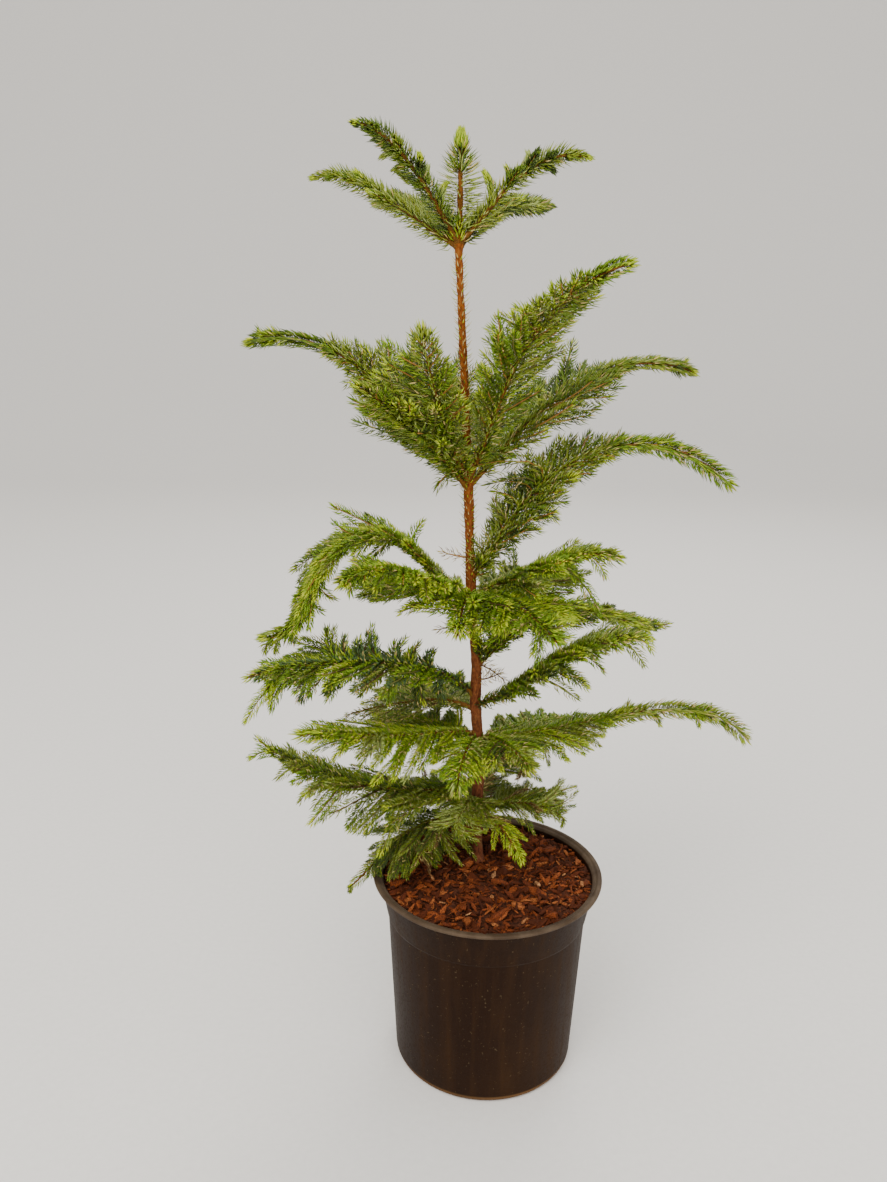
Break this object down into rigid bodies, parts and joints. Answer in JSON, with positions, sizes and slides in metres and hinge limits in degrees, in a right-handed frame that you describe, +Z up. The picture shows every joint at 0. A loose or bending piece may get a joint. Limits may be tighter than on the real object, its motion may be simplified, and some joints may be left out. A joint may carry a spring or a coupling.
{
  "type": "potted norfolk island pine",
  "caption": "Young Norfolk Island pine with whorls of needle-clad boughs on a slim trunk, in a round plastic nursery pot topped with bark mulch.",
  "frame": {"origin": "centre of the pot's flat underside", "axes": "+Z up along the trunk; -Y towards the side that the picture shows; +X to the right of that view"},
  "size_m": [0.4393, 0.2694, 0.783],
  "materials": {
    "pot_plastic": "dusty moulded plastic, dark brown-black, with a paler scuffed lip",
    "bark_mulch": "rough red-brown bark chips over potting mix",
    "bark": "rough orange-brown bark with leaf-base scales",
    "needles": "yellow-green to dark green soft needles in sprays"
  },
  "bodies": {
    "root": {"bough_fifth_left": "bark", "bough_fifth_right": "bark", "bough_fourth_right": "bark", "bough_second_front": "bark", "bough_second_front_left": "bark", "bough_second_front_right": "bark", "bough_second_left": "bark", "bough_second_right": "bark", "bough_third_front_right": "bark", "bough_third_left": "bark", "bough_third_right": "bark", "bough_top_back_left": "bark", "bough_top_back_right": "bark", "bough_top_front_left": "bark", "bough_top_left": "bark", "bough_top_right": "bark", "foliage_eighth_back": "needles", "foliage_eighth_back_left": "needles", "foliage_eighth_back_right": "needles", "foliage_eighth_front_left": "needles", "foliage_eighth_front_right": "needles", "foliage_eighth_left": "needles", "foliage_eighth_right": "needles", "foliage_fifth_back": "needles", "foliage_fifth_back_left": "needles", "foliage_fifth_left": "needles", "foliage_fifth_right": "needles", "foliage_fourth_right": "needles", "foliage_leader": "needles", "foliage_second_back": "needles", "foliage_second_front": "needles", "foliage_second_front_left": "needles", "foliage_second_front_right": "needles", "foliage_second_left": "needles", "foliage_second_right": "needles", "foliage_seventh_back": "needles", "foliage_seventh_left": "needles", "foliage_seventh_right": "needles", "foliage_sixth_back_left": "needles", "foliage_sixth_back_right": "needles", "foliage_sixth_front_left": "needles", "foliage_sixth_front_right": "needles", "foliage_sixth_left": "needles", "foliage_sixth_right": "needles", "foliage_third_back_left": "needles", "foliage_third_back_right": "needles", "foliage_third_front": "needles", "foliage_third_front_left": "needles", "foliage_third_front_right": "needles", "foliage_third_left": "needles", "foliage_third_low_right": "needles", "foliage_third_right": "needles", "foliage_top_back_left": "needles", "foliage_top_back_right": "needles", "foliage_top_front_left": "needles", "foliage_top_left": "needles", "foliage_top_right": "needles", "mulch": "bark_mulch", "pot": "pot_plastic", "trunk": "bark"}
  },
  "joints": []
}
